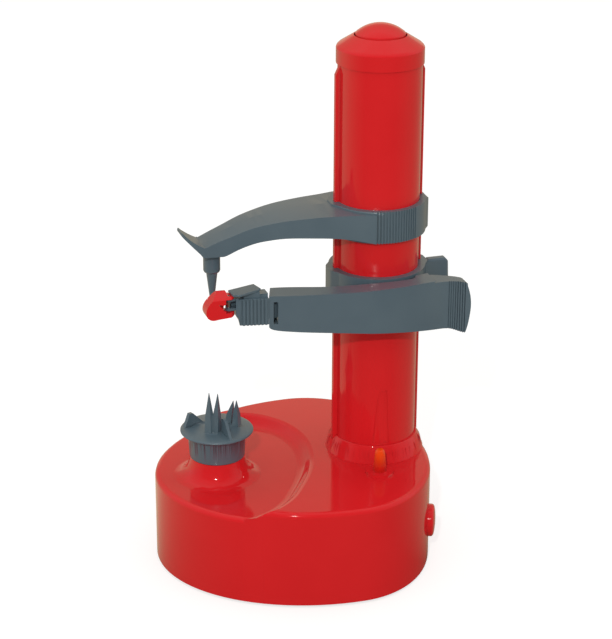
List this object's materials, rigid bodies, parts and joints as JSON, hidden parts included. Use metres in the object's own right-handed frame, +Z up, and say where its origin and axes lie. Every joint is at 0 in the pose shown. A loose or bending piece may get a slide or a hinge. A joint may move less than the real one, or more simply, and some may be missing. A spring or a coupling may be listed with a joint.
{
  "type": "electric potato peeler",
  "caption": "Upright battery potato peeler: oval base, spiked turning food holder, round column with a sliding top arm and a sliding blade arm with a swivelling blade.",
  "frame": {"origin": "on the floor under the middle of the overall box, which holds the base and the overhanging blade arm", "axes": "+Z up along the column, +X from the food holder to the column, +Y from the blade arm's side to the back"},
  "size_m": [0.1708, 0.155, 0.305],
  "materials": {
    "red_plastic": "glossy moulded red",
    "grey_plastic": "satin moulded slate grey",
    "black_plastic": "matte moulded black",
    "white_plastic": "natural moulded white",
    "clear_red_plastic": "clear orange-red moulding",
    "battery_wrap": "printed film, left plain",
    "foot_rubber": "matte black rubber",
    "zinc_steel": "zinc-plated steel",
    "spring_steel": "drawn spring wire and strip",
    "motor_steel": "pressed steel can",
    "blade_steel": "polished stainless blade",
    "brass": "turned brass"
  },
  "bodies": {
    "base": {"base_shell": "red_plastic", "bottom_plate": "black_plastic", "battery_cells": "battery_wrap", "battery_contacts": "spring_steel", "rubber_feet": "foot_rubber", "base_screws": "zinc_steel", "power_switch": "black_plastic", "stop_spring": "spring_steel", "limit_switch": "black_plastic", "motor": "motor_steel", "motor_bracket": "zinc_steel", "gearbox_plate": "white_plastic", "gearbox_cover": "white_plastic", "gearbox_screws": "zinc_steel", "gear_axles": "zinc_steel", "spindle_bush": "brass", "spindle_seal": "foot_rubber", "shaft_bushes": "brass", "screw_top_bearing": "white_plastic", "column_front": "red_plastic", "column_back": "red_plastic", "column_foot": "red_plastic", "column_screws": "zinc_steel", "column_cap": "grey_plastic", "cap_disc": "grey_plastic"},
    "holder_rotor": {"holder_gear": "white_plastic", "holder_spindle": "zinc_steel", "food_holder": "grey_plastic"},
    "idler": {"idler_gear": "white_plastic"},
    "reduction": {"reduction_gear": "white_plastic"},
    "motor_rotor": {"motor_shaft": "zinc_steel", "motor_pinion": "brass"},
    "screw_rotor": {"screw_gear": "white_plastic", "lead_screw": "zinc_steel"},
    "upper_arm": {"upper_arm": "grey_plastic", "arm_brake_spring": "spring_steel", "pin_bush": "brass"},
    "top_pin": {"top_pin": "grey_plastic", "pin_clip": "spring_steel"},
    "carriage": {"carriage": "grey_plastic", "half_nut": "white_plastic", "nut_screws": "zinc_steel", "arm_pivot_pin": "zinc_steel", "arm_spring": "spring_steel"},
    "blade_arm": {"blade_arm": "grey_plastic", "arm_back_cover": "grey_plastic"},
    "cartridge": {"blade_cartridge": "grey_plastic", "swivel_pin": "zinc_steel", "swivel_plate": "grey_plastic"},
    "blade_head": {"blade_holder": "red_plastic", "blade": "blade_steel"},
    "stop_pin": {"stop_pin": "clear_red_plastic"},
    "power_button": {"power_button": "red_plastic", "button_spring": "spring_steel"},
    "battery_door": {"battery_door": "black_plastic"}
  },
  "joints": [
    {"name": "holder_spin", "type": "hinge", "parent": "base", "child": "holder_rotor", "pos_m": [-0.0509, 0, 0.03], "axis": [0, 0, 1], "continuous": true},
    {"name": "idler_spin", "type": "hinge", "parent": "base", "child": "idler", "pos_m": [-0.0011, 0.00839, 0.03], "axis": [0, 0, 1], "continuous": true},
    {"name": "reduction_spin", "type": "hinge", "parent": "base", "child": "reduction", "pos_m": [-0.00605, 0.03646, 0.03], "axis": [0, 0, 1], "continuous": true},
    {"name": "motor_spin", "type": "hinge", "parent": "base", "child": "motor_rotor", "pos_m": [0.02395, 0.03646, 0.03], "axis": [0, 0, 1], "continuous": true},
    {"name": "screw_spin", "type": "hinge", "parent": "base", "child": "screw_rotor", "pos_m": [0.0426, 0, 0.03], "axis": [0, 0, 1], "continuous": true},
    {"name": "upper_arm_slide", "type": "slide", "parent": "base", "child": "upper_arm", "axis": [0, 0, 1], "range_m": [-0.017, 0.075]},
    {"name": "top_pin_spin", "type": "hinge", "parent": "upper_arm", "child": "top_pin", "pos_m": [-0.0524, 0, 0.18], "axis": [0, 0, 1], "continuous": true},
    {"name": "carriage_slide", "type": "slide", "parent": "base", "child": "carriage", "axis": [0, 0, 1], "range_m": [-0.066, 0]},
    {"name": "blade_arm_swing", "type": "hinge", "parent": "carriage", "child": "blade_arm", "pos_m": [0.0626, -0.027, 0.155], "axis": [0, 0, 1], "range_deg": [0, 22], "stiffness_Nm_per_rad": 0.12, "springref_deg": -17.19},
    {"name": "cartridge_slide", "type": "slide", "parent": "blade_arm", "child": "cartridge", "axis": [-1, 0, 0], "range_m": [0, 0.02]},
    {"name": "blade_swivel", "type": "hinge", "parent": "cartridge", "child": "blade_head", "pos_m": [-0.0509, -0.0289, 0.164], "axis": [0, 0, 1], "range_deg": [-12, 12]},
    {"name": "stop_pin_press", "type": "slide", "parent": "base", "child": "stop_pin", "axis": [0, 0, -1], "range_m": [0, 0.003], "stiffness_N_per_m": 250, "springref_m": -0.003, "deforming": ["stop_spring"]},
    {"name": "power_button_press", "type": "slide", "parent": "base", "child": "power_button", "axis": [-0.919, 0.3942, 0], "range_m": [0, 0.002], "stiffness_N_per_m": 500, "springref_m": -0.002},
    {"name": "battery_door_slide", "type": "slide", "parent": "base", "child": "battery_door", "axis": [0, 0, -1], "range_m": [0, 0.03]}
  ],
  "couplings": [
    {"joint": "idler_spin", "follows": "holder_spin", "ratio": -1.2444},
    {"joint": "screw_spin", "follows": "holder_spin", "ratio": 1.2727},
    {"joint": "reduction_spin", "follows": "holder_spin", "ratio": 4.6667},
    {"joint": "motor_spin", "follows": "holder_spin", "ratio": -18.667}
  ]
}
